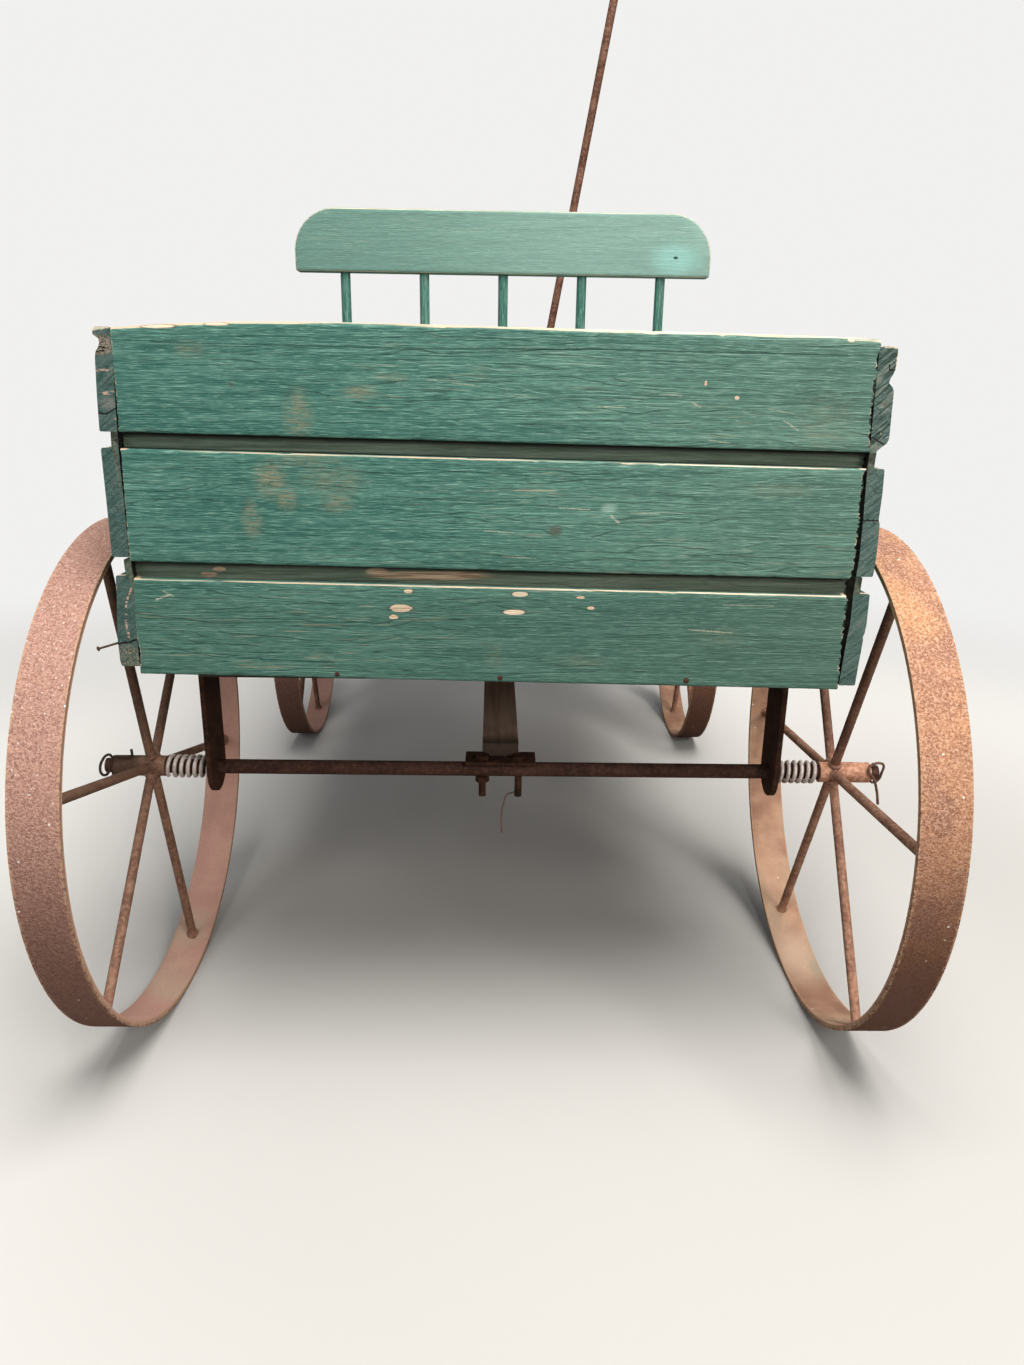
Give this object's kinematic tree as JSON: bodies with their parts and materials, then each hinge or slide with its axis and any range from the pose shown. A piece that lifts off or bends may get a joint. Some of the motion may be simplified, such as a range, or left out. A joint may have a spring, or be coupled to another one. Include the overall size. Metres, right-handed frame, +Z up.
{
  "type": "wooden pull wagon",
  "caption": "Plank-sided pull wagon with spoked steel strap wheels, a turning front truck, a bench seat with spindle back and a rod tongue with a hand loop.",
  "frame": {"origin": "on the ground, midway along the wagon's length and width", "axes": "+Z up, +Y forward towards the tongue, +X to the wagon's right"},
  "size_m": [0.6652, 1.0832, 1.1669],
  "materials": {
    "painted_wood": "worn green paint",
    "weathered_wood": "weathered",
    "wheel_iron": "light rust",
    "gear_iron": "dark rust",
    "zinc_spring": "dull zinc"
  },
  "bodies": {
    "box": {"axle_bolts": "gear_iron", "axle_plate": "gear_iron", "axle_rear": "gear_iron", "battens": "painted_wood", "floor_boards": "weathered_wood", "front_bolster": "weathered_wood", "front_bottom": "painted_wood", "front_middle": "painted_wood", "front_top": "painted_wood", "hanger_rear_left": "gear_iron", "hanger_rear_right": "gear_iron", "king_bolt": "gear_iron", "linch_clips_rear": "gear_iron", "reach": "weathered_wood", "rear_bolster": "weathered_wood", "seat_back": "painted_wood", "seat_cleats": "painted_wood", "seat_plank": "painted_wood", "seat_spindles": "painted_wood", "side_left_bottom": "painted_wood", "side_left_middle": "painted_wood", "side_left_top": "painted_wood", "side_right_bottom": "painted_wood", "side_right_middle": "painted_wood", "side_right_top": "painted_wood", "springs_rear": "zinc_spring", "tail_bottom": "painted_wood", "tail_middle": "painted_wood", "tail_top": "painted_wood", "turn_plate_upper": "gear_iron"},
    "front_truck": {"axle_front": "gear_iron", "hanger_front_left": "gear_iron", "hanger_front_right": "gear_iron", "hinge_pin": "gear_iron", "hound_left": "gear_iron", "hound_right": "gear_iron", "linch_clips_front": "gear_iron", "springs_front": "zinc_spring", "stop_pin": "gear_iron", "truck_bolster": "weathered_wood", "turn_plate_lower": "gear_iron"},
    "tongue": {"tongue_handle": "gear_iron", "tongue_rod": "gear_iron"},
    "wheel_front_left": {"wheel_front_left_hub": "wheel_iron", "wheel_front_left_rim": "wheel_iron", "wheel_front_left_spokes": "wheel_iron"},
    "wheel_front_right": {"wheel_front_right_hub": "wheel_iron", "wheel_front_right_rim": "wheel_iron", "wheel_front_right_spokes": "wheel_iron"},
    "wheel_rear_left": {"wheel_rear_left_hub": "wheel_iron", "wheel_rear_left_rim": "wheel_iron", "wheel_rear_left_spokes": "wheel_iron"},
    "wheel_rear_right": {"wheel_rear_right_hub": "wheel_iron", "wheel_rear_right_rim": "wheel_iron", "wheel_rear_right_spokes": "wheel_iron"}
  },
  "joints": [
    {"name": "steering", "type": "hinge", "parent": "box", "child": "front_truck", "pos_m": [0, 0.3026, 0.287], "axis": [0, 0, 1], "range_deg": [-30, 30]},
    {"name": "tongue_hinge", "type": "hinge", "parent": "front_truck", "child": "tongue", "pos_m": [0, 0.5246, 0.155], "axis": [-1, 0, 0], "range_deg": [0, 101]},
    {"name": "wheel_rear_left_spin", "type": "hinge", "parent": "box", "child": "wheel_rear_left", "pos_m": [-0.2825, -0.3384, 0.2032], "axis": [1, 0, 0], "continuous": true},
    {"name": "wheel_rear_right_spin", "type": "hinge", "parent": "box", "child": "wheel_rear_right", "pos_m": [0.2825, -0.3384, 0.2032], "axis": [1, 0, 0], "continuous": true},
    {"name": "wheel_front_left_spin", "type": "hinge", "parent": "front_truck", "child": "wheel_front_left", "pos_m": [-0.2825, 0.3026, 0.155], "axis": [1, 0, 0], "continuous": true},
    {"name": "wheel_front_right_spin", "type": "hinge", "parent": "front_truck", "child": "wheel_front_right", "pos_m": [0.2825, 0.3026, 0.155], "axis": [1, 0, 0], "continuous": true}
  ]
}
